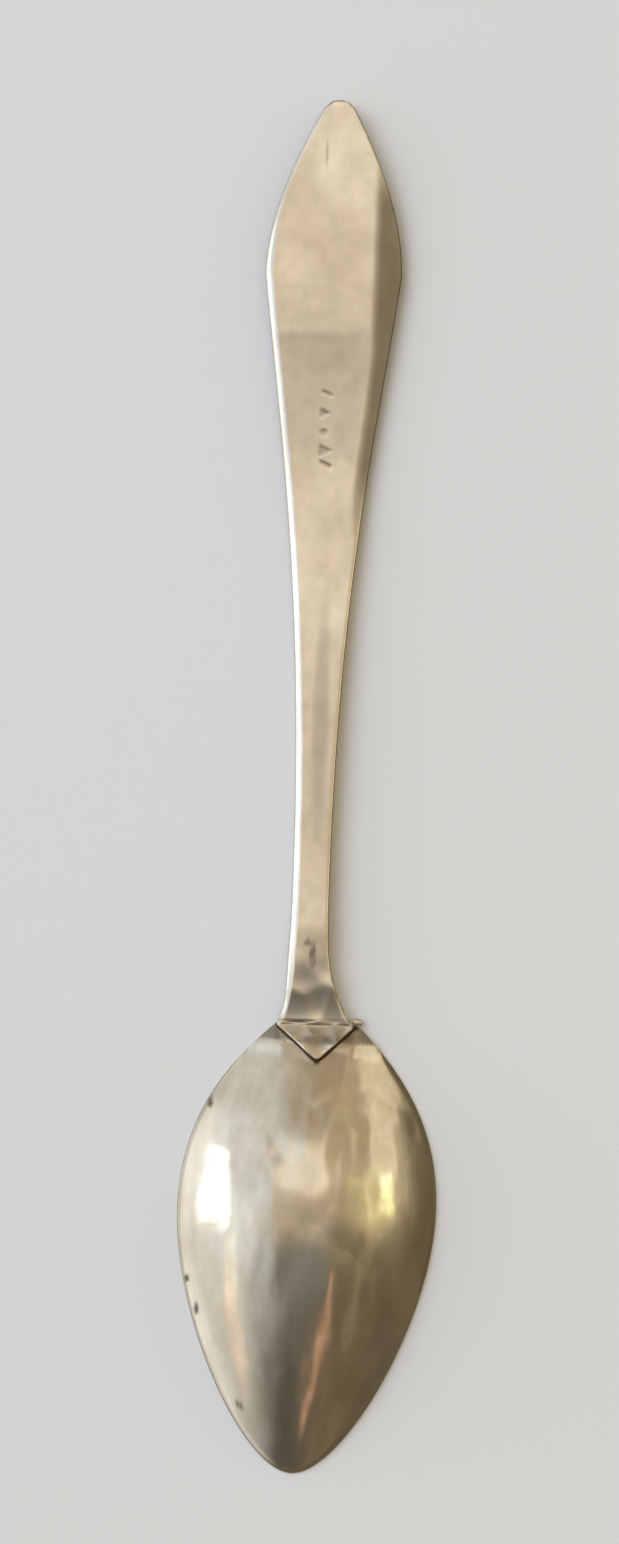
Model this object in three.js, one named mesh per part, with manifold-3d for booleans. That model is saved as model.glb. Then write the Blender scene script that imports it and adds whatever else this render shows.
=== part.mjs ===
// A small hand-made silver teaspoon, lying face down.
//
// Three pieces: a raised bowl, a forged handle whose arrow-ended tab laps over the
// back of the bowl's heel, and the film of silver solder that joins them.
//
// Millimetres. +Z points up, out of the back of the spoon. +Y runs from the tip of
// the bowl to the end of the handle. Every Y below is a distance from the bowl's tip;
// the finished group is shifted so that its origin is under the middle of the spoon.

import * as THREE from 'three';
import { mergeVertices } from 'three/addons/utils/BufferGeometryUtils.js';
import Module from 'manifold-3d';

const wasm = await Module();
wasm.setup();

// ---------------------------------------------------------------- driving dimensions

const LENGTH = 139.9;

// Bowl
const BOWL_LENGTH = 46;
const BOWL_HALF_WIDTH = 13.2;
const BOWL_WIDEST_Y = 27;
const BOWL_DEPTH = 7.5;
const BOWL_WALL = 0.9;
const HEEL_HALF_WIDTH = 4.1;
const BOWL_TURN = THREE.MathUtils.degToRad(-1.35);
const DOME_POWER = 2.15;
const RIM_EDGE_HEIGHT = 0.5;
const RIM_ROUND = 0.42;
const RIM_WIDTH = 1.2;

// Handle
const HANDLE_HALF_WIDTH = 6.94;
const HANDLE_WIDEST_Y = 122.2;
const STEM_HALF_WIDTH = 1.91;
const STEM_NARROWEST_Y = 61;
const STEM_THICKNESS = 2.4;
const BLADE_THICKNESS = 1.3;
const BLADE_FLAT_Y = 110;
const STEM_TOUCH_Y = 70;
const END_LIFT = 2.2;
const HANDLE_CENTRE_X = -0.78;
const LEFT_BEVEL = { width: 0.7, drop: 0.35 };
const RIGHT_FACET = { x: 3.0, least: 0.35, slope: 0.2, drop: 0.1 };
const FRONT_BEVEL = { width: 0.5, rise: 0.2 };

// Lap joint: the arrow-ended tab on the heel of the bowl
const CREASE_Y = 46.3;
const CREASE_TOP = 1.85;
const HEEL_CLEARANCE = 0.85;
const TAB_SLOPE = 0.58;
const TAB_TIP = new THREE.Vector2(0.45, 42.55);
const TAB_LEFT_CORNER = new THREE.Vector2(-3.75, 45.85);
const TAB_RIGHT_CORNER = new THREE.Vector2(3.95, 45.6);
const SOLDER_FILM = 0.2;
const SOLDER_FILLET = 0.3;
const FIT_GAP = 0.05;

// How finely the curved surfaces are divided
const HEEL_STEPS = 3;
const HEEL_SIDE_STEPS = 11;
const TIP_SIDE_STEPS = 16;
const DOME_RINGS = 13;
const ACROSS = 6;

// ---------------------------------------------------------------- solids and meshes

// Joins the shared vertices of a geometry and drops the slivers left on its axis.
function weld(geometry) {
  geometry.deleteAttribute('normal');
  geometry.deleteAttribute('uv');
  const welded = mergeVertices(geometry, 1e-4);
  const kept = [];
  const index = welded.index.array;
  for (let i = 0; i < index.length; i += 3) {
    const [a, b, c] = index.slice(i, i + 3);
    if (a !== b && b !== c && c !== a) kept.push(a, b, c);
  }
  welded.setIndex(kept);
  return welded;
}

function toSolid(geometry) {
  const welded = weld(geometry);
  return new wasm.Manifold(new wasm.Mesh({
    numProp: 3,
    vertProperties: new Float32Array(welded.attributes.position.array),
    triVerts: new Uint32Array(welded.index.array),
  }));
}

function toGeometry(solid) {
  const mesh = solid.getMesh();
  const geometry = new THREE.BufferGeometry();
  geometry.setAttribute('position', new THREE.BufferAttribute(mesh.vertProperties, 3));
  geometry.setIndex(new THREE.BufferAttribute(mesh.triVerts, 1));
  geometry.computeVertexNormals();
  return geometry;
}

function namedMesh(name, solid, material) {
  const mesh = new THREE.Mesh(toGeometry(solid), material);
  mesh.name = name;
  return mesh;
}

// Moves every vertex of a geometry to where place(vertex, number) puts it.
function reshape(geometry, place) {
  const position = geometry.attributes.position;
  const vertex = new THREE.Vector3();
  for (let i = 0; i < position.count; i += 1) {
    vertex.fromBufferAttribute(position, i);
    place(vertex, i);
    position.setXYZ(i, vertex.x, vertex.y, vertex.z);
  }
  return geometry;
}

// ---------------------------------------------------------------- bowl

const bowlCentre = new THREE.Vector2(0, BOWL_WIDEST_Y);

// The bowl's outline seen from above, from the tip up the right side, across the
// straight heel and down the left side, as offsets from the bowl's deepest point.
function bowlOutline() {
  const tipSide = new THREE.CubicBezierCurve(
    new THREE.Vector2(0, 0),
    new THREE.Vector2(5, 0),
    new THREE.Vector2(BOWL_HALF_WIDTH, 15.6),
    new THREE.Vector2(BOWL_HALF_WIDTH, BOWL_WIDEST_Y),
  );
  const heelSide = new THREE.CubicBezierCurve(
    new THREE.Vector2(BOWL_HALF_WIDTH, BOWL_WIDEST_Y),
    new THREE.Vector2(BOWL_HALF_WIDTH, 35.9),
    new THREE.Vector2(9, 41.4),
    new THREE.Vector2(HEEL_HALF_WIDTH, BOWL_LENGTH),
  );
  const heel = new THREE.LineCurve(
    new THREE.Vector2(HEEL_HALF_WIDTH, BOWL_LENGTH),
    new THREE.Vector2(0, BOWL_LENGTH),
  );
  const right = [
    ...tipSide.getPoints(TIP_SIDE_STEPS),
    ...heelSide.getPoints(HEEL_SIDE_STEPS).slice(1),
    ...heel.getPoints(HEEL_STEPS).slice(1),
  ];
  const left = right.slice(0, -1).reverse().map((p) => new THREE.Vector2(-p.x, p.y));
  return [...right, ...left].map((p) => p.sub(bowlCentre));
}

const outline = bowlOutline();

// Where the outline would be if it were two half ellipses: the rounder shape that the
// level lines of the dome take on towards its top.
function rounded(edge) {
  const reachY = edge.y < 0 ? BOWL_WIDEST_Y : BOWL_LENGTH - BOWL_WIDEST_Y;
  const angle = edge.angle();
  const radius = 1 / Math.hypot(Math.cos(angle) / BOWL_HALF_WIDTH, Math.sin(angle) / reachY);
  return edge.clone().setLength(radius);
}

// A dome in which every ring of the profile follows the outline. A profile point gives
// how far out the ring is (0 at the deepest point, 1 at the edge), how far it is set in
// from the outline in millimetres, and its height.
function domeSolid(profile) {
  const lathe = new THREE.LatheGeometry(
    profile.map((ring) => new THREE.Vector2(ring.reach, ring.z)),
    outline.length - 1,
  );
  const turned = new THREE.Vector2();
  reshape(lathe, (vertex, number) => {
    const ring = profile[number % profile.length];
    const edge = outline[Math.floor(number / profile.length)];
    const inwards = 1 - ring.inset / edge.length();
    turned.copy(rounded(edge)).lerp(edge, ring.reach ** 2).multiplyScalar(ring.reach * inwards);
    turned.rotateAround(new THREE.Vector2(), BOWL_TURN).add(bowlCentre);
    vertex.set(turned.x, turned.y, ring.z);
  });
  return toSolid(lathe);
}

// Rings of a dome that rises from edgeHeight at its edge to topHeight, edge first.
function domeRings(edgeHeight, topHeight, inset) {
  const rings = [];
  for (let i = DOME_RINGS; i >= 0; i -= 1) {
    const reach = i / DOME_RINGS;
    rings.push({ reach, inset, z: edgeHeight + (topHeight - edgeHeight) * (1 - reach ** DOME_POWER) });
  }
  return rings;
}

// The bowl's wall: up the inside of the dome's rings, over the filed rim, and back.
function bowlSolid() {
  const inside = domeRings(0, BOWL_DEPTH - BOWL_WALL, RIM_WIDTH).reverse();
  const rim = [
    { reach: 1, inset: RIM_ROUND, z: 0 },
    { reach: 1, inset: RIM_ROUND * 0.3, z: RIM_EDGE_HEIGHT * 0.3 },
  ];
  const outside = domeRings(RIM_EDGE_HEIGHT, BOWL_DEPTH, 0);
  return domeSolid([...inside, ...rim, ...outside]);
}

// Everything under the back of the bowl, with that surface raised by lift.
function underDome(lift) {
  const outside = domeRings(RIM_EDGE_HEIGHT + lift, BOWL_DEPTH + lift, -lift);
  const base = [
    { reach: 0, inset: 0, z: -1 },
    { reach: 1, inset: -lift, z: -1 },
  ];
  return domeSolid([...base, ...outside]);
}

// ---------------------------------------------------------------- handle

// Half widths along the handle, from the tab to the rounded end: each curve runs from
// one (y, half width) to the next.
function handleStations() {
  const tab = new THREE.LineCurve(
    new THREE.Vector2(TAB_TIP.y - 0.6, 4),
    new THREE.Vector2(45.8, 3.88),
  );
  const neck = new THREE.CubicBezierCurve(
    new THREE.Vector2(45.8, 3.88),
    new THREE.Vector2(48.4, 2.15),
    new THREE.Vector2(53, STEM_HALF_WIDTH),
    new THREE.Vector2(STEM_NARROWEST_Y, STEM_HALF_WIDTH),
  );
  const blade = new THREE.CubicBezierCurve(
    new THREE.Vector2(STEM_NARROWEST_Y, STEM_HALF_WIDTH),
    new THREE.Vector2(92.1, STEM_HALF_WIDTH),
    new THREE.Vector2(108, 5.3),
    new THREE.Vector2(HANDLE_WIDEST_Y, HANDLE_HALF_WIDTH),
  );
  const point = new THREE.CubicBezierCurve(
    new THREE.Vector2(HANDLE_WIDEST_Y, HANDLE_HALF_WIDTH),
    new THREE.Vector2(127.7, HANDLE_HALF_WIDTH),
    new THREE.Vector2(133.6, 4.5),
    new THREE.Vector2(138.9, 1.68),
  );
  const end = new THREE.QuadraticBezierCurve(
    new THREE.Vector2(138.9, 1.68),
    new THREE.Vector2(139.75, 1.2),
    new THREE.Vector2(LENGTH, 0.4),
  );
  return [
    ...tab.getPoints(6),
    ...neck.getPoints(12).slice(1),
    ...blade.getPoints(24).slice(1),
    ...point.getPoints(12).slice(1),
    ...end.getPoints(4).slice(1),
  ];
}

// The handle's middle line leans to one side of the bowl's, and swings back to the
// tip of the tab over the neck.
function handleCentre(y) {
  const swing = THREE.MathUtils.smoothstep(y, TAB_TIP.y - 2, 54);
  return THREE.MathUtils.lerp(TAB_TIP.x + 0.15, HANDLE_CENTRE_X, swing);
}

// Height of the front of the handle, which faces down: it arches over the heel, comes
// down to the table at STEM_TOUCH_Y and lifts gently, then straight, to the end.
function frontHeight(y) {
  const rate = END_LIFT / (LENGTH - STEM_TOUCH_Y) ** 2;
  if (y < STEM_TOUCH_Y) {
    const towardsHeel = (STEM_TOUCH_Y - y) / (STEM_TOUCH_Y - CREASE_Y);
    return HEEL_CLEARANCE * Math.min(towardsHeel, 1) ** 2;
  }
  const curved = Math.min(y, BLADE_FLAT_Y) - STEM_TOUCH_Y;
  const straight = Math.max(y - BLADE_FLAT_Y, 0);
  return rate * curved ** 2 + 2 * rate * curved * straight;
}

// Height of the back of the handle. The tab rises up the bowl from the crease.
function backHeight(y) {
  if (y < CREASE_Y) return CREASE_TOP + TAB_SLOPE * (CREASE_Y - y);
  const flattened = THREE.MathUtils.smoothstep(y, STEM_TOUCH_Y, BLADE_FLAT_Y);
  const thickness = THREE.MathUtils.lerp(STEM_THICKNESS, BLADE_THICKNESS, flattened);
  const full = frontHeight(y) + thickness;
  return THREE.MathUtils.lerp(CREASE_TOP, full, THREE.MathUtils.smoothstep(y, CREASE_Y - 1, 56));
}

// Across one station of the back: a bevelled left edge, a flat, and on the right a
// facet that is a thin line on the stem and broad where the handle is widest.
function backAcross(column, left, right, height) {
  const facetStart = Math.min(right - RIGHT_FACET.least, RIGHT_FACET.x);
  if (column === 0) return { x: left, z: height - LEFT_BEVEL.drop };
  if (column === ACROSS) {
    return { x: right, z: height - RIGHT_FACET.drop - RIGHT_FACET.slope * (right - facetStart) };
  }
  const along = (column - 1) / (ACROSS - 2);
  return { x: THREE.MathUtils.lerp(left + LEFT_BEVEL.width, facetStart, along), z: height };
}

// Across one station of the front, which has small even bevels.
function frontAcross(column, left, right, height) {
  if (column === 0) return { x: left, z: height + FRONT_BEVEL.rise };
  if (column === ACROSS) return { x: right, z: height + FRONT_BEVEL.rise };
  const along = (column - 1) / (ACROSS - 2);
  const x = THREE.MathUtils.lerp(left + FRONT_BEVEL.width, right - FRONT_BEVEL.width, along);
  return { x, z: height };
}

// The forged bar, before its arrow end is sawn and fitted to the bowl.
function barSolid() {
  const stations = handleStations();
  const box = new THREE.BoxGeometry(1, 1, 1, ACROSS, stations.length - 1, 1);
  reshape(box, (vertex) => {
    const column = Math.round((vertex.x + 0.5) * ACROSS);
    const station = stations[Math.round((vertex.y + 0.5) * (stations.length - 1))];
    const y = station.x;
    const left = handleCentre(y) - station.y;
    const right = handleCentre(y) + station.y;
    const across = vertex.z > 0
      ? backAcross(column, left, right, backHeight(y))
      : frontAcross(column, left, right, frontHeight(y));
    vertex.set(across.x, y, across.z);
  });
  return toSolid(box);
}

// A tall block whose plan is an arrow end, widened all round by grow, that reaches
// back to farY. The two sides of the V run on outwards past the corners of the tab.
function arrowSolid(grow, farY) {
  const reach = 12;
  const sides = [TAB_LEFT_CORNER, TAB_RIGHT_CORNER].map((corner) => {
    const side = corner.clone().sub(TAB_TIP);
    return side.multiplyScalar(Math.abs(reach / side.x)).add(TAB_TIP);
  });
  const halfAngle = (sides[1].clone().sub(TAB_TIP).angle() + Math.PI
    - sides[0].clone().sub(TAB_TIP).angle()) / 2;
  const back = grow / Math.cos(halfAngle);
  const plan = new THREE.Shape([
    new THREE.Vector2(TAB_TIP.x, TAB_TIP.y - back),
    new THREE.Vector2(sides[1].x, sides[1].y - back),
    new THREE.Vector2(sides[1].x, Math.max(farY, sides[1].y)),
    new THREE.Vector2(sides[0].x, Math.max(farY, sides[0].y)),
    new THREE.Vector2(sides[0].x, sides[0].y - back),
  ]);
  const block = new THREE.ExtrudeGeometry(plan, { depth: 12, bevelEnabled: false });
  return toSolid(block.translate(0, 0, -2));
}

// A block over the heel only, up to the given distances from the middle line and tip.
function heelBlock(halfWidth, farY) {
  const box = new THREE.BoxGeometry(2 * halfWidth, 10, 12);
  return toSolid(box.translate(handleCentre(CREASE_Y), farY - 5, 4));
}

function handleSolid() {
  const arrow = arrowSolid(0, LENGTH + 1);
  const seat = underDome(FIT_GAP + SOLDER_FILM + FIT_GAP);
  return barSolid().intersect(arrow).subtract(seat);
}

// The solder film between the tab and the bowl, showing as a thin line along the V.
function solderSolid() {
  const plan = arrowSolid(SOLDER_FILLET, LENGTH).intersect(heelBlock(4.1, BOWL_LENGTH - 0.3));
  return underDome(FIT_GAP + SOLDER_FILM).subtract(underDome(FIT_GAP)).intersect(plan);
}

// ---------------------------------------------------------------- materials and assembly

const bowlSilver = new THREE.MeshStandardMaterial({ color: 0xc2b9a4, roughness: 0.28, metalness: 1 });
const handleSilver = new THREE.MeshStandardMaterial({ color: 0xc4b08e, roughness: 0.4, metalness: 1 });
const oxidisedSolder = new THREE.MeshStandardMaterial({ color: 0x4a4036, roughness: 0.6, metalness: 1 });

const pieces = new THREE.Group();
pieces.add(
  namedMesh('bowl', bowlSolid(), bowlSilver),
  namedMesh('handle', handleSolid(), handleSilver),
  namedMesh('solder_seam', solderSolid(), oxidisedSolder),
);

// The origin is under the middle of the spoon, on the surface that it rests on.
const extent = new THREE.Box3().setFromObject(pieces);
const middle = extent.getCenter(new THREE.Vector3());
pieces.position.set(-middle.x, -middle.y, -extent.min.z);

const teaspoon = new THREE.Group();
teaspoon.add(pieces);

export default teaspoon;
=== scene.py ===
"""A small hand-made silver teaspoon, lying face down on a pale table.

A raised bowl with a filed rim, a forged handle whose arrow-ended tab laps over the heel
of the bowl, and the tarnished silver solder between them. Lengths inside the script are
millimetres measured from the tip of the bowl; every finished piece is in metres, in the
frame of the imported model.
"""

import math

import bmesh
import bpy
import numpy as np
from mathutils import Matrix, Vector, noise
from mathutils.geometry import interpolate_bezier


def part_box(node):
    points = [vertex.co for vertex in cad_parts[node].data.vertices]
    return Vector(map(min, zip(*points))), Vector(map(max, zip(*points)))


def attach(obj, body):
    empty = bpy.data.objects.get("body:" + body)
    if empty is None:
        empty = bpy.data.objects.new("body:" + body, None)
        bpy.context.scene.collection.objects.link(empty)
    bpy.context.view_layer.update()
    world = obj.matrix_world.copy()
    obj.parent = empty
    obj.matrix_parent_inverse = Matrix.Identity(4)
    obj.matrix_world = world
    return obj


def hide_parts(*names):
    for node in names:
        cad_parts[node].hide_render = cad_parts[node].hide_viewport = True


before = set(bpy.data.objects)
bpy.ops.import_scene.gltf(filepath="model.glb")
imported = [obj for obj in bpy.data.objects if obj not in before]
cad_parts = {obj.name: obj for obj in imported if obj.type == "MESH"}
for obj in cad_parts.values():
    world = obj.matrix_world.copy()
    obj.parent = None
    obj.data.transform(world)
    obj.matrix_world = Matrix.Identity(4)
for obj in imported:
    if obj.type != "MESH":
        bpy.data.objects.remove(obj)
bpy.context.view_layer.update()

bl_info = {
    "name": "Silver Teaspoon",
    "version": (1, 0, 0),
    "blender": (4, 5, 0),
    "location": "View3D > Sidebar > Teaspoon",
    "description": "Builds a hand-made silver teaspoon and its studio stage",
    "category": "Add Mesh",
}

# One millimetre in metres.
MILLIMETRE = 0.001
TIP_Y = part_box("bowl")[0][1]
# Faces that meet more steeply than this are shaded with a sharp edge.
SHARP_ANGLE = math.radians(40)


# ---------------------------------------------------------------- settings


def linear(hex_colour):
    """The linear RGBA of an sRGB hex colour."""
    channels = [int(hex_colour[i : i + 2], 16) / 255 for i in (1, 3, 5)]
    return [c / 12.92 if c <= 0.04045 else ((c + 0.055) / 1.055) ** 2.4 for c in channels] + [1]


def length(name, default, about):
    """A property that holds a length in millimetres."""
    return bpy.props.FloatProperty(
        name=name, description=f"{about}, in millimetres", default=default, min=0, precision=3,
    )


def colour(name, default, about):
    """A property that holds a colour, given as an sRGB hex value."""
    return bpy.props.FloatVectorProperty(
        name=name, description=about, subtype="COLOR", size=4, min=0, max=1, default=linear(default),
    )


class TeaspoonBowl(bpy.types.PropertyGroup):
    """Sizes of the raised bowl."""

    half_width: length("Half width", 13.2, "From the middle line to the widest point of the rim")
    widest: length("Widest at", 27.0, "Distance from the tip to the widest and deepest point")
    length: length("Length", 46.0, "From the tip to the straight edge of the heel")
    heel: length("Heel half width", 4.1, "Half the width of the straight heel edge")
    depth: length("Depth", 7.5, "Height of the back of the bowl over the rim plane")
    wall: length("Wall", 0.9, "Thickness of the silver at the deepest point")
    rim: length("Rim width", 1.2, "Width of the rim, filed flat")
    edge: length("Edge height", 0.5, "Height of the rounded outer edge of the rim")
    round: length("Edge rounding", 0.42, "Radius of the outer edge of the rim")
    planish: length("Planishing", 0.22, "Depth of the long soft marks left by the planishing hammer")


class TeaspoonHandle(bpy.types.PropertyGroup):
    """Sizes of the forged handle."""

    total: length("Total length", 139.9, "Length of the whole spoon")
    widest: length("Widest at", 122.2, "Distance from the bowl's tip to the widest point")
    half_width: length("Half width", 6.94, "Half the width at the widest point")
    stem: length("Stem half width", 1.9, "Half the width of the stem where it is narrowest")
    stem_thick: length("Stem thickness", 2.4, "Thickness of the stem")
    blade_thick: length("Blade thickness", 1.3, "Thickness of the broad end")
    round: length("Edge rounding", 0.22, "Radius that wear has given the edges")
    tab: length("Tab thickness", 0.72, "Thickness of the arrow-ended tab over the solder")


class TeaspoonFinish(bpy.types.PropertyGroup):
    """Colours of the metals and of the table."""

    silver: colour("Silver", "#E8E2D4", "Polished sterling silver, slightly yellowed")
    satin: colour("Satin silver", "#F3EDE3", "Silver of the handle, worn to a satin finish")
    tarnish: colour("Tarnish", "#A98F63", "Thin warm sulphide film on the silver")
    # Also the colour of the painted shade on the bowl's heel and on the handle's neck and facet.
    sulphide: colour("Sulphide", "#43362A", "Thick sulphide in pits, punches and along the solder")
    table: colour("Table", "#E6E6E6", "Plain pale table top")


class TeaspoonSettings(bpy.types.PropertyGroup):
    """Everything that the operators read."""

    bowl: bpy.props.PointerProperty(type=TeaspoonBowl, name="Bowl", description="Bowl sizes")
    handle: bpy.props.PointerProperty(type=TeaspoonHandle, name="Handle", description="Handle sizes")
    finish: bpy.props.PointerProperty(type=TeaspoonFinish, name="Finish", description="Colours")


# ---------------------------------------------------------------- small helpers


def smooth(low, high, value):
    """0 below low, 1 above high, and an S-curve between them; low may be the larger."""
    part = min(max((value - low) / (high - low), 0), 1)
    return part * part * (3 - 2 * part)


def mix(a, b, part):
    """The value that is part of the way from a to b."""
    return a + (b - a) * part


def curve(*points, steps=40):
    """Points of one Bezier stretch through four (x, y) control points."""
    return interpolate_bezier(*[Vector((*p, 0)) for p in points], steps)


def waves(x, y, across, along, seed):
    """Smooth noise between about -1 and 1 whose marks are across by along millimetres."""
    return noise.noise(Vector((x / across, y / along, seed)))


def dishes(x, y, across, along, seed):
    """Shallow dishes left by a hammer, with low ridges between them: 0 in their middles."""
    nearest = noise.voronoi(Vector((x / across, y / along, seed)))[0][0]
    return nearest**2


def spot(x, y, centre, size):
    """1 in the middle of an oval of the given half sizes, fading to 0 at its edge."""
    away = math.hypot((x - centre[0]) / size[0], (y - centre[1]) / size[1])
    return smooth(1, 0.35, away)


def worn(distance, radius):
    """How much a rounded edge drops at a distance from the rim."""
    if distance >= radius:
        return 0
    return radius - math.sqrt(max(radius**2 - (radius - distance) ** 2, 0))


def add_node(tree, kind, settings=None, inputs=None):
    """Adds a node, sets its properties, and sets or links its input sockets."""
    made = tree.nodes.new(kind)
    for name, value in (settings or {}).items():
        setattr(made, name, value)
    for name, value in (inputs or {}).items():
        if isinstance(value, bpy.types.NodeSocket):
            tree.links.new(value, made.inputs[name])
        else:
            made.inputs[name].default_value = value
    return made


def close_walls(mesh):
    """Bridges the open borders of two shells into one closed solid, facing outwards."""
    border = [e for e in mesh.edges if e.is_boundary]
    bmesh.ops.bridge_loops(mesh, edges=border)
    bmesh.ops.recalc_face_normals(mesh, faces=mesh.faces)


def finish_piece(mesh, name, material, node, tarnish=None):
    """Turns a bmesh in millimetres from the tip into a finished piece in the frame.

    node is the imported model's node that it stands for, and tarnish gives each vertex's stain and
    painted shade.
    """
    # The tarnish layer holds real stains and painted shade together.
    stain_and_shade = mesh.verts.layers.float.new("tarnish")
    for vert in mesh.verts:
        vert[stain_and_shade] = tarnish(vert.co) if tarnish else 0
    place = Matrix.Translation((0, TIP_Y, 0)) @ Matrix.Scale(MILLIMETRE, 4)
    bmesh.ops.transform(mesh, matrix=place, verts=mesh.verts)
    data = bpy.data.meshes.new(name)
    mesh.to_mesh(data)
    mesh.free()
    data.shade_smooth()
    data.set_sharp_from_angle(angle=SHARP_ANGLE)
    data.materials.append(material)
    piece = bpy.data.objects.new(name, data)
    bpy.context.scene.collection.objects.link(piece)
    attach(piece, "root")
    if node:
        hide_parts(node)


# ---------------------------------------------------------------- shape of the bowl

# The bowl is set a little askew on its handle.
BOWL_TURN = math.radians(-1.35)
# How full the bowl's section is: 2 would be a parabola.
DOME_POWER = 2.15
# Where the heel bends down, how far the bend stands proud, and how wide it is.
HEEL_BEND = 44.15
BEND_RISE = 0.35
BEND_WIDTH = 0.9
BOWL_STEPS, BOWL_RINGS = 288, 60


class Dome:
    """The back of the bowl as a height over the plan."""

    def __init__(self, sizes):
        self.sizes = sizes
        wide, widest = sizes.half_width, sizes.widest
        # The right half of the rim as (x, y), from the tip to the middle of the heel.
        side = curve((0, 0), (5, 0), (wide, 15.6), (wide, widest))
        shoulder = curve((wide, widest), (wide, 35.9), (9, 41.4), (sizes.heel, sizes.length))
        heel = curve(
            (sizes.heel, sizes.length), (sizes.heel / 2, sizes.length),
            (sizes.heel / 2, sizes.length), (0, sizes.length),
        )
        right = [Vector((p.x, p.y - widest)) for p in [*side, *shoulder[1:], *heel[1:]]]
        # Angles run from the tip, round the right side, to the heel.
        self.angles = np.array([math.atan2(p.x, -p.y) for p in right])
        self.radii = np.array([p.length for p in right])

    def outline(self, angle):
        """Distance from the deepest point to the rim, at an angle from the tip."""
        return float(np.interp(abs(angle), self.angles, self.radii))

    def rounded(self, angle):
        """The same for the two half ellipses that the level lines tend to near the top."""
        reach = self.sizes.widest if math.cos(angle) > 0 else self.sizes.length - self.sizes.widest
        return 1 / math.hypot(math.sin(angle) / self.sizes.half_width, math.cos(angle) / reach)

    def plan(self, angle, reach, inset=0):
        """The point of the plan on the level line that is reach of the way to the rim."""
        rim = self.outline(angle)
        radius = reach * mix(self.rounded(angle), rim, reach**2) * (1 - inset / rim)
        local = Vector((math.sin(angle) * radius, -math.cos(angle) * radius))
        local.rotate(Matrix.Rotation(BOWL_TURN, 2))
        return local.x, local.y + self.sizes.widest

    def reach(self, x, y):
        """Which level line a point of the plan lies on: 0 is the top and 1 the rim."""
        local = Vector((x, y - self.sizes.widest))
        local.rotate(Matrix.Rotation(-BOWL_TURN, 2))
        angle = math.atan2(local.x, -local.y)
        rim, inner = self.outline(angle), self.rounded(angle)
        reach = local.length / rim
        for _ in range(6):
            error = reach * mix(inner, rim, reach**2) - local.length
            reach -= error / (inner + 3 * (rim - inner) * reach**2)
        return reach

    def height(self, x, y, reach=None):
        """Height of the back of the bowl, with its heel bend and planishing marks."""
        if reach is None:
            reach = self.reach(x, y)
        edge = self.sizes.edge
        body = edge + (self.sizes.depth - edge) * (1 - max(reach, 0) ** DOME_POWER)
        body -= worn((1 - reach) * self.sizes.half_width, self.sizes.round) * smooth(44, 40, y)
        return body + self.bend(x, y) + self.planishing(x, y, reach)

    def bend(self, x, y):
        """The heel was bent down across a straight line just behind its edge."""
        near = self.sizes.length - HEEL_BEND
        if y > HEEL_BEND:
            rise = max(0, 1 - (y - HEEL_BEND) / near)
        else:
            rise = math.exp(-(((HEEL_BEND - y) / BEND_WIDTH) ** 2))
        return BEND_RISE * rise * smooth(9, 6, abs(x))

    def planishing(self, x, y, reach):
        """Long soft marks that run along the bowl, and rounder ones towards its heel."""
        at_heel = smooth(20, 38, y)
        faded = max(smooth(1.02, 0.5, reach), 0.6 * at_heel * smooth(1.02, 0.9, reach))
        deep = self.sizes.planish * faded * mix(0.55, 1, smooth(12, 25, y))
        lengthwise = 0.7 * waves(x, y, 3.4, 15, 1.3) + 0.25 * waves(x, y, 1.4, 5, 4.1)
        round_marks = 0.6 * waves(x, y, 3.1, 3.6, 7.7) * at_heel
        long_dishes = 0.5 * dishes(x, y, 2.4, 7, 0.4) * (1 - at_heel)
        heel_dishes = 0.8 * dishes(x, y, 2.8, 3.2, 2.6) * at_heel
        return deep * (lengthwise + round_marks - long_dishes - heel_dishes)


# Places and half sizes of the dark tarnish spots on the bowl.
BOWL_SPOTS = (
    ((-10.2, 37.6), (0.4, 0.75)),
    ((-11.95, 19.6), (0.4, 0.55)),
    ((-10.85, 16.6), (0.35, 0.85)),
    ((-6.1, 7.0), (0.45, 0.6)),
)
# Below this height the rim gets only the tarnish spots, none of the painted shade and solder stain at
# the heel.
HEEL_SHADE_AND_STAIN_ABOVE = 0.5


def bowl_stain_and_shade(point):
    """Spots of sulphide, a painted shade between the heel's bend and its edge, and darkening beside
    the tab.
    """
    x, y = point.x, point.y
    spots = max(0.8 * spot(x, y, at, half) for at, half in BOWL_SPOTS)
    if point.z < HEEL_SHADE_AND_STAIN_ABOVE:
        return spots
    # Painted shade: the steep strip between the heel's bend and its edge is darkened in colour, a
    # painted dark reflection of the dim room.
    uneven = 0.85 + 0.3 * waves(x, y, 1.2, 0.8, 3.3)
    painted_heel_shade = smooth(HEEL_BEND - 0.1, HEEL_BEND + 0.2, y + 0.03 * x) * uneven
    # Beside the tab's cut end the bowl is darkened: partly solder stain, partly painted shade at the
    # foot of the tab.
    seam_stain_and_shade = smooth(-1.0, -0.1, past_cut(x, y)) * smooth(5, 4, abs(x))
    return min(max(spots, 0.6 * painted_heel_shade, 0.3 * seam_stain_and_shade), 1)


def spun_shell(mesh, dome, rings, inset, height):
    """Spins one shell of the bowl from a row of vertices, closer together near the rim.

    The shell is narrower than the outline by inset, and height(x, y, reach) is its height.
    """
    row = [mesh.verts.new((1 - (1 - i / rings) ** 1.6, 0, 0)) for i in range(rings + 1)]
    spokes = [mesh.edges.new(pair) for pair in zip(row, row[1:])]
    before = set(mesh.verts) - set(row)
    bmesh.ops.spin(
        mesh, geom=row + spokes, cent=(0, 0, 0), axis=(0, 0, 1),
        angle=math.tau, steps=BOWL_STEPS, use_merge=True,
    )
    made = [v for v in mesh.verts if v not in before]
    bmesh.ops.remove_doubles(mesh, verts=made, dist=1e-5)
    made = [v for v in mesh.verts if v.is_valid and v not in before]
    for vert in made:
        reach = min(vert.co.xy.length, 1)
        angle = math.atan2(vert.co.x, -vert.co.y) if reach > 1e-6 else 0
        x, y = dome.plan(angle, reach, inset)
        vert.co = (x, y, height(x, y, reach))


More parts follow.
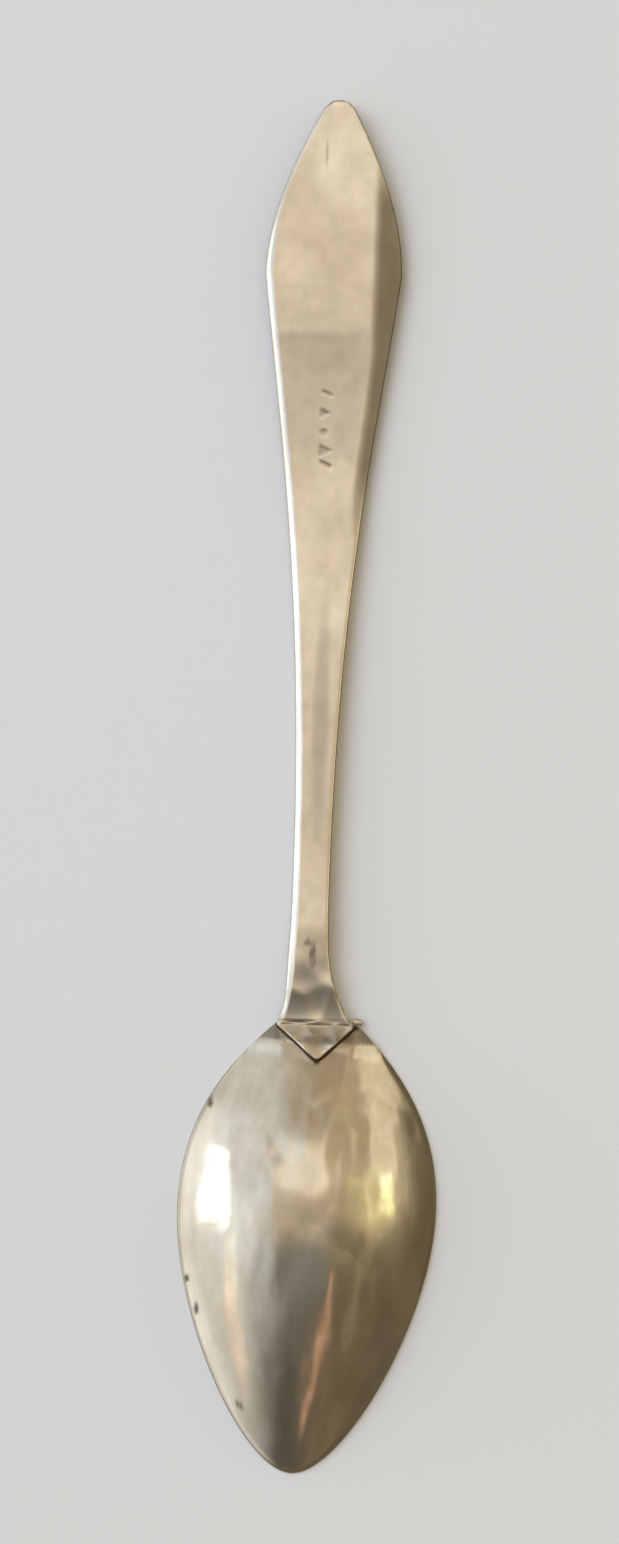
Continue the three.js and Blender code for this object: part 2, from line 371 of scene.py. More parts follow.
def bowl_mesh(sizes):
    """The bowl's wall: outer and inner shells joined by the filed rim."""
    dome = Dome(sizes)
    mesh = bmesh.new()
    inner_top = sizes.depth - sizes.wall
    spun_shell(mesh, dome, BOWL_RINGS, 0, dome.height)
    outer_rim = [e for e in mesh.edges if e.is_boundary]
    lowered = bmesh.ops.extrude_edge_only(mesh, edges=outer_rim)["geom"]
    for vert in [g for g in lowered if isinstance(g, bmesh.types.BMVert)]:
        vert.co.z = 0
    spun_shell(
        mesh, dome, BOWL_RINGS // 2, sizes.rim,
        lambda x, y, reach: inner_top * (1 - reach**DOME_POWER),
    )
    close_walls(mesh)
    return mesh


# ---------------------------------------------------------------- shape of the handle

# The V of the tab's cut end: its tip, its two corners, and how round its tip is.
TAB_TIP = Vector((0.45, 42.55))
TAB_LEFT = Vector((-3.75, 45.85))
TAB_RIGHT = Vector((3.95, 45.6))
TIP_ROUND = 0.3
# Straight across a side of the V, over the same distance along the spoon.
ACROSS_V = 0.76
# The tab's thickness at the crease, and the gap under it that the solder fills.
TAB_AT_CREASE = 1.15
SOLDER_GAP = 0.1
# The heel's height is read no nearer to its end than this.
HEEL_LIMIT = 45.9
# The neck: its two ends, and the heights of its back and its front at the crease.
CREASE = 46.3
NECK_TOP = 56.0
NECK_BACK = 1.86
NECK_FRONT = 0.85
# The handle touches the table at one place, rises from it, and ends straight.
TOUCHES_TABLE = 70.0
FLAT_FROM = 110.0
END_LIFT = 2.2
# The middle line at the tab and along the stem.
TAB_CENTRE = 0.6
STEM_CENTRE = -0.78


class Bar:
    """The forged bar: its width, its middle line and its two faces along its length."""

    def __init__(self, sizes, dome):
        self.sizes = sizes
        self.dome = dome
        wide, widest, stem = sizes.half_width, sizes.widest, sizes.stem
        # Half widths as (y, width): the tab, the neck and stem, the blade, its end, its tip.
        stretches = (
            curve((41, 4.05), (43, 4), (44.5, 3.95), (45.8, 3.88)),
            curve((45.8, 3.88), (48.4, 2.15), (53, stem), (61, stem)),
            curve((61, stem), (92.1, stem), (108, 5.3), (widest, wide)),
            curve((widest, wide), (127.7, wide), (133.6, 4.5), (138.9, 1.68)),
            curve((138.9, 1.68), (139.3, 1.45), (139.75, 1.1), (sizes.total, 0.35)),
        )
        points = [p for stretch in stretches for p in stretch]
        self.along = np.array([p.x for p in points])
        self.widths = np.array([p.y for p in points])

    def half_width(self, y):
        """Half the width across the bar."""
        return float(np.interp(y, self.along, self.widths))

    def centre(self, y):
        """The middle line leans to the left and swings back to the tab's tip."""
        return mix(TAB_CENTRE, STEM_CENTRE, smooth(40.5, 54, y))

    def front(self, y):
        """Height of the side that faces the table."""
        if y < TOUCHES_TABLE:
            return NECK_FRONT * min((TOUCHES_TABLE - y) / (TOUCHES_TABLE - CREASE), 1) ** 2
        rate = END_LIFT / (self.sizes.total - TOUCHES_TABLE) ** 2
        curved = min(y, FLAT_FROM) - TOUCHES_TABLE
        return rate * curved**2 + 2 * rate * curved * max(y - FLAT_FROM, 0)

    def tab_top(self, x, y):
        """Back of the tab, which follows the heel under it and thickens to the crease."""
        thicker = mix(self.sizes.tab, TAB_AT_CREASE, smooth(43, CREASE, y))
        body = self.dome.height(x, min(y, HEEL_LIMIT))
        return body + SOLDER_GAP + thicker

    def back(self, x, y):
        """Height of the side that faces up, before its edges are worn round."""
        flattened = smooth(TOUCHES_TABLE, FLAT_FROM, y)
        thick = mix(self.sizes.stem_thick, self.sizes.blade_thick, flattened)
        full = self.front(y) + thick
        from_top = max((NECK_TOP - y) / (NECK_TOP - CREASE), 0)
        neck = mix(full, NECK_BACK, from_top**1.35)
        # The crease is sharp on the left and softer on the right.
        softer = 0.3 * smooth(-1, 1, x)
        return mix(self.tab_top(x, y), neck, smooth(CREASE - 0.4 - softer, CREASE + 0.1 + softer, y))


def tab_side(x):
    """Where the cut end of the tab lies, at x; its point is slightly rounded."""
    corner = TAB_LEFT if x < TAB_TIP.x else TAB_RIGHT
    from_tip = x - TAB_TIP.x
    blunted = math.hypot(from_tip, TIP_ROUND) - TIP_ROUND * smooth(3, 0, abs(from_tip))
    return mix(TAB_TIP.y, corner.y, blunted / abs(corner.x - TAB_TIP.x))


def past_cut(x, y):
    """How far along the spoon a point lies beyond the tab's cut end."""
    return y - tab_side(min(max(x, TAB_LEFT.x), TAB_RIGHT.x))


# The grid of the handle: its columns and rows nearest to the edges, by their distances in,
# and the least distance of all the other rows.
EDGE_COLUMNS = (0, 0.03, 0.08, 0.14, 0.22)
EDGE_END = 0.24
COLUMNS, ROWS = 72, 500
# Its rows are slanted to meet the V, by less and less up to here.
SLANT_END = 48.6
# Rows of the grid are closest on the tab and among the punches: (row, distance from the tip).
ROW_SPACING = ((0, TAB_TIP.y), (110, 49.0), (250, 101.0), (320, 111.5), (ROWS, 139.9))


def row_place(row):
    """Distance from the bowl's tip to a row of the grid, before the tab's end is slanted."""
    rows, places = zip(*ROW_SPACING)
    near_start, near_end = min(row, len(EDGE_COLUMNS) - 1), min(ROWS - row, len(EDGE_COLUMNS) - 1)
    if near_start == row:
        return TAB_TIP.y + EDGE_COLUMNS[row]
    if near_end == ROWS - row:
        return places[-1] - EDGE_COLUMNS[near_end]
    return min(max(np.interp(row, rows, places), places[0] + EDGE_END), places[-1] - EDGE_END)


def handle_plan(bar, column, row):
    """One vertex of the handle's grid in plan, its distance from the rim, and both edges."""
    sizes = bar.sizes
    y = row_place(row)
    fade = min(max((SLANT_END - y) / (SLANT_END - TAB_TIP.y), 0), 1)
    across = column / COLUMNS
    cut_x = mix(TAB_LEFT.x, TAB_RIGHT.x, across)
    from_cut = y - TAB_TIP.y
    y += (tab_side(cut_x) - TAB_TIP.y) * fade
    left = bar.centre(y) - bar.half_width(y)
    right = bar.centre(y) + bar.half_width(y)
    last = len(EDGE_COLUMNS) - 1
    scale = min(1, bar.half_width(y) / (2 * EDGE_COLUMNS[-1]))
    if column <= last:
        x = left + EDGE_COLUMNS[column] * scale
    elif column >= COLUMNS - last:
        x = right - EDGE_COLUMNS[COLUMNS - column] * scale
    else:
        part = (column - last) / (COLUMNS - 2 * last)
        x = mix(left + EDGE_COLUMNS[-1] * scale, right - EDGE_COLUMNS[-1] * scale, part)
    x = mix(x, cut_x, fade**4)
    inside = min(x - left, right - x, from_cut * ACROSS_V, sizes.total - y)
    return x, y, max(inside, 0), left, right


# Generic punch marks down the middle of the blade: (kind, centre x, y, half size).
PUNCHES = (
    ("bar", -1.0, 110.1, 0.5),
    ("wedge", -1.15, 108.1, 0.55),
    ("dot", -1.2, 106.1, 0.55),
    ("wedge", -1.05, 104.3, 0.7),
    ("bar", -0.9, 102.9, 0.6),
)


def punch_depth(x, y):
    """Depth, from 0 to 1, that the punches give at a point of the blade."""
    deepest = 0
    for kind, at_x, at_y, size in PUNCHES:
        dx, dy = (x - at_x) / size, (y - at_y) / size
        if abs(dx) > 1.6 or abs(dy) > 1.6:
            continue
        if kind == "bar":
            depth = smooth(0.45, 0.1, abs(dy + 0.45 * dx)) * smooth(1.15, 0.8, abs(dx))
        elif kind == "dot":
            depth = 0.8 * smooth(0.95, 0.35, math.hypot(dx, dy))
        else:
            depth = smooth(1, 0.5, abs(dy) + 0.5 * (dx + 0.6)) * smooth(-0.9, -0.6, dx)
        deepest = max(deepest, depth)
    return deepest


# Middles of the hammer's dishes on the tab, and on the neck behind it.
TAB_BLOWS = (
    (-2.6, 45.6), (-1.1, 44.9), (0.3, 45.9), (1.4, 45.3), (3.1, 45.5), (0.4, 44.1), (0.8, 43.0),
)
NECK_BLOWS = ((-2.0, 47.6), (0.3, 48.2), (2.3, 47.4), (-0.9, 50.6), (0.6, 52.0))


def blow_height(x, y, blows, radius, worn_ridge):
    """Height over the middle of the nearest dish; the ridges between dishes are worn soft."""
    heights = [((x - at_x) ** 2 + (y - at_y) ** 2) / (2 * radius) for at_x, at_y in blows]
    lowest = min(heights)
    return lowest - worn_ridge * math.log(sum(math.exp((lowest - h) / worn_ridge) for h in heights))


# The low bend across the blade, and where the end beyond it begins to spring back.
CROSS_BEND = 116.2
SPRING_BACK = 121.0
# The furthest right that the broad facet begins.
FACET_LINE = 3.2


def blade_facet(y):
    """Where the broad facet begins on the blade: it narrows towards the stem."""
    return min(FACET_LINE, 1.9 + 0.095 * (y - 100))


def facet_start(y, right):
    """Where the facet on the right edge begins; on the stem it is a thin line."""
    return min(mix(right - 0.5, blade_facet(y), smooth(93, 101, y)), right - 0.3)


def handle_back(bar, x, y, inside, left, right):
    """The finished height of the back of the handle."""
    height = bar.back(x, y)
    below_neck = smooth(44, 48, y)
    # The left edge is a worn bevel.
    bevel = 0.78 * mix(1, 0.45, smooth(123, 132, y)) * mix(0.6, 1, smooth(46, 52, y))
    over = max(bevel - (x - left), 0)
    height -= 0.68 * over**2 / (over + 0.1) * below_neck
    # The right edge is a broad facet on the blade and a thin line on the stem.
    over = max(x - facet_start(y, right), 0)
    height -= 0.32 * over**2 / (over + 0.5) * below_neck
    # A blow across the blade left a low bend, and the end beyond it springs back a little.
    height += 0.022 * math.exp(-(((y - CROSS_BEND) / 0.7) ** 2)) * smooth(2.5, 0, x)
    beyond = max(y - SPRING_BACK, 0)
    height -= 0.03 * beyond**2 / (beyond + 3)
    # The hammer left dishes on the tab and on the neck, and shallow waves all along.
    on_tab = smooth(CREASE, CREASE - 0.7, y)
    if on_tab > 0:
        height += blow_height(x, y, TAB_BLOWS, 2.4, 0.03) * on_tab
    on_neck = (1 - on_tab) * smooth(54, 49, y)
    if on_neck > 0:
        height += blow_height(x, y, NECK_BLOWS, 6.5, 0.05) * on_neck
    marks = 0.012 + 0.03 * smooth(49, 46, y)
    height += marks * (waves(x, y, 2.3, 3.4, 11.5) + 0.5 * waves(x, y, 1.0, 1.4, 3.9))
    height += 0.03 * waves(x, y, 4, 11, 8.4)
    # The bend at the crease left a crack on its left half.
    line = math.exp(-(((y - CREASE - 0.02 * x) / 0.09) ** 2))
    height -= 0.2 * line * smooth(0.4, -1, x) * smooth(-3.2, -2.6, x)
    height -= 0.07 * punch_depth(x, y)
    return height - worn(inside, bar.sizes.round)


def handle_grid(mesh, bar, height):
    """One face of the handle: a grid drawn to the plan, at the given heights."""
    made = bmesh.ops.create_grid(mesh, x_segments=COLUMNS, y_segments=ROWS, size=1)["verts"]
    for vert in made:
        column = round((vert.co.x + 1) / 2 * COLUMNS)
        row = round((vert.co.y + 1) / 2 * ROWS)
        x, y, inside, left, right = handle_plan(bar, column, row)
        vert.co = (x, y, height(x, y, inside, left, right))


def handle_mesh(settings):
    """The handle's two faces, joined round their edges."""
    dome = Dome(settings.bowl)
    bar = Bar(settings.handle, dome)
    mesh = bmesh.new()

    def back(x, y, inside, left, right):
        return handle_back(bar, x, y, inside, left, right)

    def front(x, y, inside, left, right):
        bottom = bar.front(y)
        if y < CREASE:
            bottom = max(bottom, dome.height(x, min(y, HEEL_LIMIT)) + SOLDER_GAP)
        return bottom + worn(inside, bar.sizes.round) * smooth(44, 47, y)

    handle_grid(mesh, bar, back)
    handle_grid(mesh, bar, front)
    close_walls(mesh)
    return mesh


def handle_stain_and_shade(point):
    """How dark the tarnish and the painted shade are at a point of the handle, from 0 to 1."""
    x, y = point.x, point.y
    ragged = 0.7 + 0.6 * waves(x, y, 0.4, 0.8, 2.2)
    pit = 0.8 * max(spot(x, y, (-0.35, 53.0), (0.5, 1.9)), spot(x, y, (-0.9, 54.3), (0.6, 0.45)))
    streak = 0.2 * spot(x, y, (-0.45, 77.5), (1.1, 15))
    # Painted shade: the neck just behind the crease is darkened, a painted dark reflection where its
    # back slopes towards the bowl.
    neck = 0.3 * spot(x, y, (0.1, 48.9), (2.4, 2.8)) * (0.8 + 0.4 * waves(x, y, 1, 1.2, 6.2))
    patchy = 0.85 + 0.6 * waves(x, y, 0.7, 0.5, 4.7)
    valley = 0.35 * math.exp(-(((y - CREASE - 0.05) / 0.22) ** 2)) * patchy
    crack = 0.55 * spot(x, y, (-1.6, CREASE - 0.03), (1.5, 0.16))
    punched = 0.3 * punch_depth(x, y)
    scratch = 0.28 * spot(x, y, (-1.9, 134.4), (0.16, 2.0))
    # Painted shade: the broad facet on the blade's right edge is darkened, as the side turned away
    # from the light.
    edge = blade_facet(y)
    facet_painted_shade = 0.58 * smooth(edge - 0.3, edge + 0.9, x) * smooth(94, 104, y) * smooth(134.5, 129, y)
    handled = 0.11 * smooth(102, 106, y) * smooth(118, 115.5, y)
    on_tab = 0
    if y < CREASE:
        inner = smooth(0.15, 0.7, past_cut(x, y) * ACROSS_V)
        middle = 0.3 * spot(x, y, (0.4, 44.4), (2.0, 0.8))
        on_tab = inner * (0.24 + middle + 0.12 * waves(x, y, 0.8, 0.6, 9.1))
    stains_and_shade = (pit * ragged, streak, neck, valley, crack, punched, scratch, facet_painted_shade, handled, on_tab)
    return min(max(stains_and_shade), 1)


# ---------------------------------------------------------------- shape of the solder


def solder_mesh(settings):
    """A thin film under the tab with a fillet standing along both sides of the V."""
    dome = Dome(settings.bowl)
    mesh = bmesh.new()
    # How far it stands out of the joint and reaches under the tab, how high the fillet is,
    # and where the film's two faces lie beside the back of the heel.
    widest, hidden, high = 0.31, 0.5, 0.3
    film_top, film_bottom = 0.07, -0.05
    heel_end = 45.95

    def place(vert, top):
        u = (vert.co.x + 1) / 2
        v = (vert.co.y + 1) / 2
        x = mix(TAB_LEFT.x - 0.1, TAB_RIGHT.x + 0.45, u)
        thin = 0.75 + 0.25 * smooth(-1, 3, x) + 0.12 * waves(x, 0, 0.8, 1, 5.5)
        under_tab = hidden * smooth(0, 0.9, x - TAB_LEFT.x) * smooth(0, 0.9, TAB_RIGHT.x - x)
        offset = mix(-widest * thin, under_tab, v)
        y = tab_side(x) + offset / ACROSS_V
        ground = dome.height(x, min(y, heel_end))
        fillet = high * smooth(-widest, 0.05, offset) * smooth(0.3, 0.02, offset)
        vert.co = (x, y, ground + (film_top + fillet if top else film_bottom))

    for top in (True, False):
        made = bmesh.ops.create_grid(mesh, x_segments=72, y_segments=10, size=1)["verts"]
        for vert in made:
            place(vert, top)
    close_walls(mesh)
    return mesh


BEAD_HALF_SIZES = (0.62, 0.36, 0.28)
BEAD_PLACE = (4.45, 46.3, 0.95)
BEAD_TURN = math.radians(-8)


def bead_mesh():
    """A drop of bright solder left at the heel's right corner."""
    mesh = bmesh.new()
    bmesh.ops.create_icosphere(mesh, subdivisions=3, radius=1)
    bmesh.ops.scale(mesh, vec=BEAD_HALF_SIZES, verts=mesh.verts)
    turn = Matrix.Rotation(BEAD_TURN, 3, "Z")
    bmesh.ops.rotate(mesh, cent=(0, 0, 0), matrix=turn, verts=mesh.verts)
    bmesh.ops.translate(mesh, vec=BEAD_PLACE, verts=mesh.verts)
    return mesh


# ---------------------------------------------------------------- metals


def per_metre(across, along):
    """The scale of a pattern whose marks are across by along millimetres."""
    return [1 / (size * MILLIMETRE) for size in (across, along, across)]


def silver(name, metal, finish, roughness, tarnish_amount, grain, strokes):
    """Sterling silver: a warm near-white mirror, dulled by wear and yellowed by sulphide.

    A metal keeps the default IOR, because its colour does the work. grain is (across, along,
    depth) of the fine finishing marks in millimetres, which stretch the highlights along the
    spoon; real ones are about 0.02 mm apart, and these are drawn coarser, so that they show.
    strokes is (across, along, shade) of the broad strokes of the polishing stick, which leave
    the silver a shade lighter or darker.
    """
    material = bpy.data.materials.new(name)
    material.use_nodes = True
    tree = material.node_tree
    tree.nodes.clear()
    place = add_node(tree, "ShaderNodeTexCoord").outputs["Object"]
    # The tarnish attribute holds real stains and painted shade; both darken towards the sulphide
    # colour and dull the silver.
    stain_and_shade = add_node(tree, "ShaderNodeAttribute", {"attribute_name": "tarnish"}).outputs["Fac"]

    # Cloudy yellowing, about 9 mm across, with finer breath-like patches of 2 mm.
    cloud = add_node(
        tree, "ShaderNodeTexNoise", {},
        {"Vector": place, "Scale": 1 / (9 * MILLIMETRE), "Detail": 5, "Roughness": 0.6},
    )
    film = add_node(
        tree, "ShaderNodeMapRange", {"interpolation_type": "SMOOTHSTEP"},
        {"Value": cloud.outputs["Fac"], "From Min": 0.35, "From Max": 0.7,
         "To Min": 0, "To Max": tarnish_amount},
    )
    yellowed = add_node(
        tree, "ShaderNodeMix", {"data_type": "RGBA"},
        {0: film.outputs["Result"], 6: metal, 7: finish.tarnish},
    )
    darkened = add_node(
        tree, "ShaderNodeMix", {"data_type": "RGBA"},
        {0: stain_and_shade, 6: yellowed.outputs[2], 7: finish.sulphide},
    )

    # Finishing marks: long fine grain that runs down the spoon.
    across, along, depth = grain
    stretched = add_node(
        tree, "ShaderNodeMapping", {},
        {"Vector": place, "Scale": per_metre(across, along)},
    )
    marks = add_node(
        tree, "ShaderNodeTexNoise", {},
        {"Vector": stretched.outputs["Vector"], "Scale": 1, "Detail": 1.5, "Roughness": 0.5},
    )
    relief = add_node(
        tree, "ShaderNodeBump", {},
        {"Height": marks.outputs["Fac"], "Strength": 1, "Distance": depth * MILLIMETRE},
    )
    across, along, shade = strokes
    strokes_place = add_node(
        tree, "ShaderNodeMapping", {},
        {"Vector": place, "Scale": per_metre(across, along)},
    )
    stroke = add_node(
        tree, "ShaderNodeTexNoise", {},
        {"Vector": strokes_place.outputs["Vector"], "Scale": 1, "Detail": 2.5, "Roughness": 0.55},
    )
    stroke_shade = add_node(
        tree, "ShaderNodeMapRange", {},
        {"Value": stroke.outputs["Fac"], "From Min": 0.3, "From Max": 0.7,
         "To Min": 1 - shade, "To Max": 1 + shade / 2},
    )
    shaded = add_node(
        tree, "ShaderNodeVectorMath", {"operation": "SCALE"},
        {0: darkened.outputs[2], "Scale": stroke_shade.outputs["Result"]},
    )
    dulled = add_node(
        tree, "ShaderNodeMapRange", {},
        {"Value": cloud.outputs["Fac"], "From Min": 0.3, "From Max": 0.7,
         "To Min": roughness * 0.8, "To Max": roughness * 1.25},
    )
    rough = add_node(
        tree, "ShaderNodeMath", {"operation": "MULTIPLY_ADD"},
        {0: stain_and_shade, 1: 0.35, 2: dulled.outputs["Result"]},
    )
    surface = add_node(
        tree, "ShaderNodeBsdfPrincipled", {},
        {"Base Color": shaded.outputs["Vector"], "Metallic": 1, "Roughness": rough.outputs["Value"],
         "Normal": relief.outputs["Normal"]},
    )
    add_node(tree, "ShaderNodeOutputMaterial", {}, {"Surface": surface.outputs["BSDF"]})
    return material


def oxidised_solder(finish):
    """Silver solder blackened by its flux and by years of sulphide: dull, gritty, nearly black."""
    material = bpy.data.materials.new("Oxidised silver solder")
    material.use_nodes = True
    tree = material.node_tree
    tree.nodes.clear()
    place = add_node(tree, "ShaderNodeTexCoord").outputs["Object"]
    grit = add_node(
        tree, "ShaderNodeTexNoise", {},
        {"Vector": place, "Scale": 1 / (0.5 * MILLIMETRE), "Detail": 3, "Roughness": 0.6},
    )
    tone = add_node(
        tree, "ShaderNodeMix", {"data_type": "RGBA"},
        {0: grit.outputs["Fac"], 6: finish.sulphide, 7: linear("#5A4636")},
    )
    relief = add_node(
        tree, "ShaderNodeBump", {},
        {"Height": grit.outputs["Fac"], "Strength": 1, "Distance": 0.05 * MILLIMETRE},
    )
    surface = add_node(
        tree, "ShaderNodeBsdfPrincipled", {},
        {"Base Color": tone.outputs[2], "Metallic": 0.7, "Roughness": 0.55,
         "Normal": relief.outputs["Normal"]},
    )
    add_node(tree, "ShaderNodeOutputMaterial", {}, {"Surface": surface.outputs["BSDF"]})
    return material


# ---------------------------------------------------------------- stage


def table_top(finish):
    """A plain pale matt table."""
    material = bpy.data.materials.new("Pale matt table")
    material.use_nodes = True
    surface = material.node_tree.nodes["Principled BSDF"]
    surface.inputs["Base Color"].default_value = finish.table
    surface.inputs["Roughness"].default_value = 0.85
    mesh = bmesh.new()
    bmesh.ops.create_grid(mesh, x_segments=1, y_segments=1, size=3)
    data = bpy.data.meshes.new("table")
    mesh.to_mesh(data)
    mesh.free()
    data.materials.append(material)
    table = bpy.data.objects.new("table", data)
    bpy.context.scene.collection.objects.link(table)
    # The metal mirrors the room's dim lower half, so its edges stand out from the pale table.
    table.visible_glossy = False


# How far the panels stand from the spoon, in metres.
PANEL_DISTANCE = 2.0


def panel_light(name, towards, spread, hex_colour, strength, roll=0, mirrored=True):
    """A soft rectangular light, placed and sized as the spoon sees it.

    towards is how far (right, back) its middle is from straight overhead, and spread is how
    far it reaches (round the horizon, down from overhead), all in degrees. strength is its
    brightness beside the room's white, and roll turns it in its own plane. One that isn't
    mirrored lights the spoon without being seen in the metal.
    """
    right, back = towards
    from_zenith = math.radians(math.hypot(right, back))
    bearing = math.atan2(back, right)
    way = Vector((math.cos(bearing), math.sin(bearing), 0)) * math.sin(from_zenith)
    way.z = math.cos(from_zenith)
    around, down = [2 * PANEL_DISTANCE * math.tan(math.radians(side / 2)) for side in spread]
    lamp = bpy.data.lights.new(name, "AREA")
    lamp.shape = "RECTANGLE"
    lamp.size = around
    lamp.size_y = down
    lamp.color = linear(hex_colour)[:3]
    lamp.energy = strength * math.pi * around * down
    light = bpy.data.objects.new(name, lamp)
    light.location = way * PANEL_DISTANCE
    turned = way.to_track_quat("Z", "Y").to_matrix() @ Matrix.Rotation(math.radians(roll), 3, "Z")
    light.rotation_euler = turned.to_euler()
    light.visible_camera = False
    light.visible_glossy = mirrored
    bpy.context.scene.collection.objects.link(light)


def room():
    """Soft surroundings: bright and cool on the left, warm overhead and behind, dim in front."""
    world = bpy.data.worlds.new("Soft room")
    bpy.context.scene.world = world
    world.use_nodes = True
    tree = world.node_tree
    tree.nodes.clear()
    way = add_node(tree, "ShaderNodeTexCoord").outputs["Generated"]

    def blend(axis, start, end, first, second):
        """Turns from the first colour to the second between two distances along an axis."""
        along = add_node(tree, "ShaderNodeVectorMath", {"operation": "DOT_PRODUCT"}, {0: way, 1: axis})
        part = add_node(
            tree, "ShaderNodeMapRange", {"interpolation_type": "SMOOTHSTEP"},
            {"Value": along.outputs["Value"], "From Min": start, "From Max": end},
        )
        return add_node(
            tree, "ShaderNodeMix", {"data_type": "RGBA"},
            {0: part.outputs["Result"], 6: first, 7: second},
        ).outputs[2]

    right, back, up = (1, 0, 0), (0, 1, 0), (0, 0, 1)
    front = blend(back, -0.15, -0.85, linear("#86857F"), linear("#645E55"))
    overhead = blend(back, 0.0, 0.07, linear("#D0BEA6"), linear("#FFF1DC"))
    behind = blend(back, 0.3, 0.7, overhead, linear("#BFAE95"))
    sky = blend(back, -0.2, -0.09, front, behind)
    right_side = blend(back, -0.28, -0.06, linear("#7A6C57"), linear("#CBBB9A"))
    with_right = blend(right, 0.1, 0.45, sky, right_side)
    left_side = blend(back, -0.5, 0.0, linear("#DCDCDA"), linear("#F1F6FA"))
    far_left = blend(back, 0.3, 0.75, left_side, linear("#DAD8D2"))
    with_left = blend((1, -0.28, 0), -0.12, -0.7, with_right, far_left)
    horizon = blend(right, -0.75, -0.35, linear("#E4E2DE"), linear("#6F634F"))
    all_round = blend(up, 0.22, 0.0, with_left, horizon)

    # Furniture and curtains: soft patches about 15 degrees across, all round but not overhead.
    clutter = add_node(
        tree, "ShaderNodeTexNoise", {}, {"Vector": way, "Scale": 4.2, "Detail": 4, "Roughness": 0.55},
    )
    tone = add_node(
        tree, "ShaderNodeMapRange", {},
        {"Value": clutter.outputs["Fac"], "From Min": 0.35, "From Max": 0.65,
         "To Min": 0.8, "To Max": 1.12},
    )
    patches = blend(up, 0.98, 0.85, linear("#FFFFFF"), tone.outputs["Result"])
    furnished = add_node(
        tree, "ShaderNodeVectorMath", {"operation": "MULTIPLY"}, {0: all_round, 1: patches},
    )
    light = add_node(tree, "ShaderNodeBackground", {}, {"Color": furnished.outputs["Vector"]})
    add_node(tree, "ShaderNodeOutputWorld", {}, {"Surface": light.outputs["Background"]})


# The camera's height, the length of table that it takes in, and the place below it.
CAMERA_HEIGHT = 500.0
PICTURE_LENGTH = 157.6
CAMERA_AIM = Vector((-1.36, 71.6))
CAMERA_ROLL = math.radians(2.135)


def camera():
    """Looks straight down on the spoon, with the handle away and a little to the right."""
    data = bpy.data.cameras.new("camera")
    data.sensor_width = 36
    data.lens = data.sensor_width * CAMERA_HEIGHT / PICTURE_LENGTH
    data.clip_start = 0.01
    eye = bpy.data.objects.new("camera", data)
    eye.location = Vector((*CAMERA_AIM, CAMERA_HEIGHT)) * MILLIMETRE + Vector((0, TIP_Y, 0))
    eye.rotation_euler = (0, 0, CAMERA_ROLL)
    bpy.context.scene.collection.objects.link(eye)
    bpy.context.scene.camera = eye


# ---------------------------------------------------------------- operators


class TEASPOON_OT_bowl(bpy.types.Operator):
    """Make the raised bowl"""

    bl_idname = "teaspoon.bowl"
    bl_label = "Bowl"

    def execute(self, context):
        settings = context.scene.teaspoon
        # Hammered smooth and polished: a soft mirror whose highlights waver.
        metal = silver(
            "Planished sterling silver", settings.finish.silver, settings.finish,
            roughness=0.17, tarnish_amount=0.3, grain=(0.5, 9, 0.004), strokes=(2.2, 6, 0.1),
        )
        finish_piece(
            bowl_mesh(settings.bowl), "bowl_raised", metal, "bowl", bowl_stain_and_shade,
        )
        return {"FINISHED"}


class TEASPOON_OT_handle(bpy.types.Operator):
    """Make the forged handle with its arrow-ended tab"""

    bl_idname = "teaspoon.handle"
    bl_label = "Handle"

    def execute(self, context):
        settings = context.scene.teaspoon
        # Worn by handling: broad flat tones with a fine grain, and no clear reflections.
        metal = silver(
            "Satin sterling silver", settings.finish.satin, settings.finish,
            roughness=0.25, tarnish_amount=0.22, grain=(0.35, 6, 0.005), strokes=(2.0, 3.6, 0.08),
        )
        finish_piece(
            handle_mesh(settings), "handle_forged", metal, "handle", handle_stain_and_shade,
        )
        return {"FINISHED"}


class TEASPOON_OT_solder(bpy.types.Operator):
    """Make the solder along the lap joint"""

    bl_idname = "teaspoon.solder"
    bl_label = "Solder"

    def execute(self, context):
        settings = context.scene.teaspoon
        dark = oxidised_solder(settings.finish)
        finish_piece(solder_mesh(settings), "solder_fillet", dark, "solder_seam")
        # Cooled as it ran, and never polished: pale with a dull, even sheen.
        bright = silver(
            "Bright silver solder", settings.finish.satin, settings.finish,
            roughness=0.5, tarnish_amount=0.1, grain=(0.3, 0.3, 0.002), strokes=(0.5, 0.5, 0.1),
        )
        finish_piece(bead_mesh(), "solder_bead", bright, None)
        return {"FINISHED"}


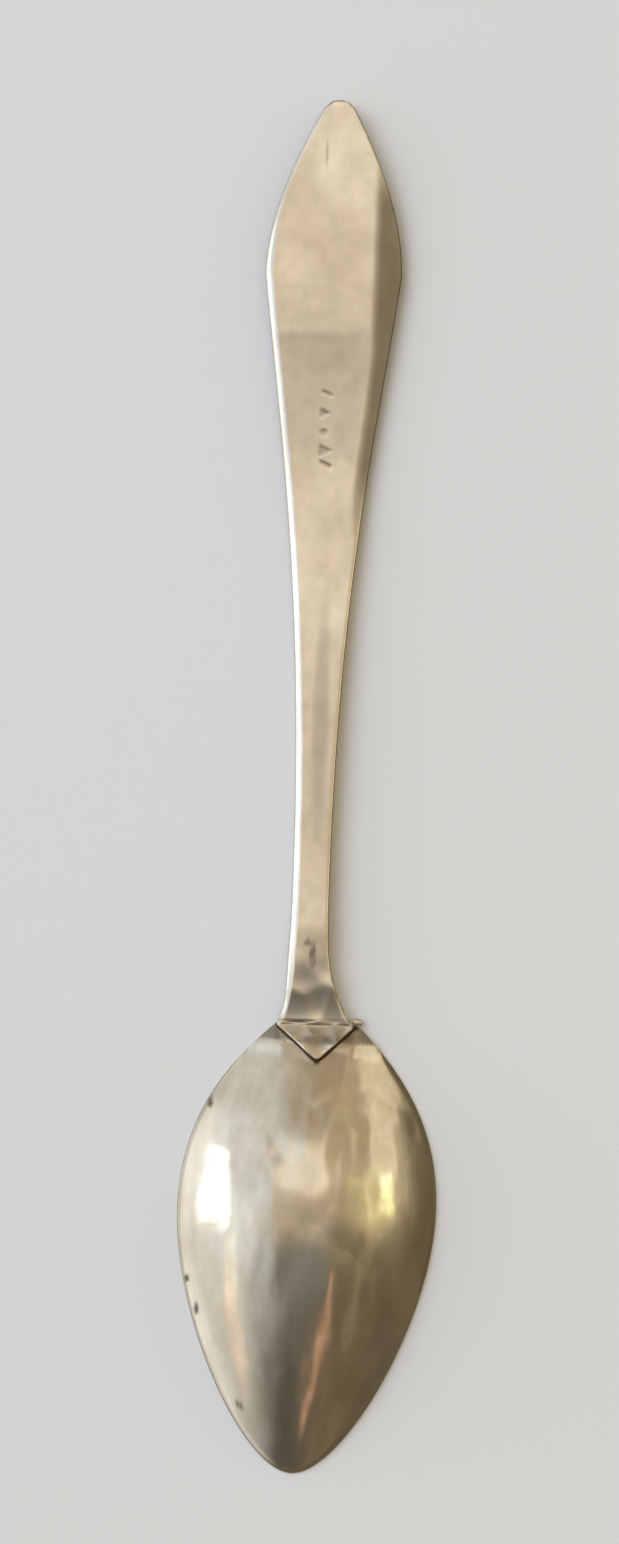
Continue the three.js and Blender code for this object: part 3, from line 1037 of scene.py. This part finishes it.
class TEASPOON_OT_stage(bpy.types.Operator):
    """Make the table, the soft lights and the camera"""

    bl_idname = "teaspoon.stage"
    bl_label = "Stage"

    def execute(self, context):
        table_top(context.scene.teaspoon.finish)
        room()
        panel_light("window", (-76, 4), (22, 16), "#F4F8FF", 2.2)
        panel_light("sill", (-95.5, -17), (70, 14), "#FAF4F2", 0.35, roll=-9)
        panel_light("pane", (-65, -22), (13, 11), "#FFF2D4", 0.5)
        panel_light("left card", (-61, -38), (20, 13), "#FFC898", 0.35)
        panel_light("warm card", (18, -38), (6.5, 38), "#FFC29C", 0.5, roll=-40)
        panel_light("right window", (59, 24), (30, 16), "#F4F0E4", 0.4)
        panel_light("curtain", (56, 51), (40, 12), "#F0E4CC", 0.3)
        panel_light("right card", (52, -26), (26, 9), "#F2D9B8", 0.12)
        panel_light("lamp glow", (56, 1), (22, 26), "#FFF27A", 0.15)
        panel_light("lamp", (64, 3), (15, 7), "#FFFCC8", 1.4)
        panel_light("fill", (-30, 17), (42, 42), "#DCEBFF", 2.9, mirrored=False)
        camera()
        context.scene.view_settings.view_transform = "Standard"
        return {"FINISHED"}


class TEASPOON_PT_sidebar(bpy.types.Panel):
    """Lists the sizes, the colours and the pieces that can be made"""

    bl_label = "Teaspoon"
    bl_idname = "TEASPOON_PT_sidebar"
    bl_space_type = "VIEW_3D"
    bl_region_type = "UI"
    bl_category = "Teaspoon"

    def draw(self, context):
        settings = context.scene.teaspoon
        for group in (settings.bowl, settings.handle, settings.finish):
            box = self.layout.box()
            for name in type(group).__annotations__:
                box.prop(group, name)
        for operator in OPERATORS:
            self.layout.operator(operator.bl_idname)


OPERATORS = (TEASPOON_OT_bowl, TEASPOON_OT_handle, TEASPOON_OT_solder, TEASPOON_OT_stage)
CLASSES = (
    TeaspoonBowl, TeaspoonHandle, TeaspoonFinish, TeaspoonSettings,
    *OPERATORS, TEASPOON_PT_sidebar,
)


def register():
    """Adds the add-on's classes and its settings."""
    for cls in CLASSES:
        bpy.utils.register_class(cls)
    bpy.types.Scene.teaspoon = bpy.props.PointerProperty(type=TeaspoonSettings)


def unregister():
    """Takes them away again."""
    del bpy.types.Scene.teaspoon
    for cls in reversed(CLASSES):
        bpy.utils.unregister_class(cls)


def main():
    """Makes every piece and the stage."""
    register()
    bpy.ops.teaspoon.bowl()
    bpy.ops.teaspoon.handle()
    bpy.ops.teaspoon.solder()
    bpy.ops.teaspoon.stage()


if __name__ == "__main__":
    main()
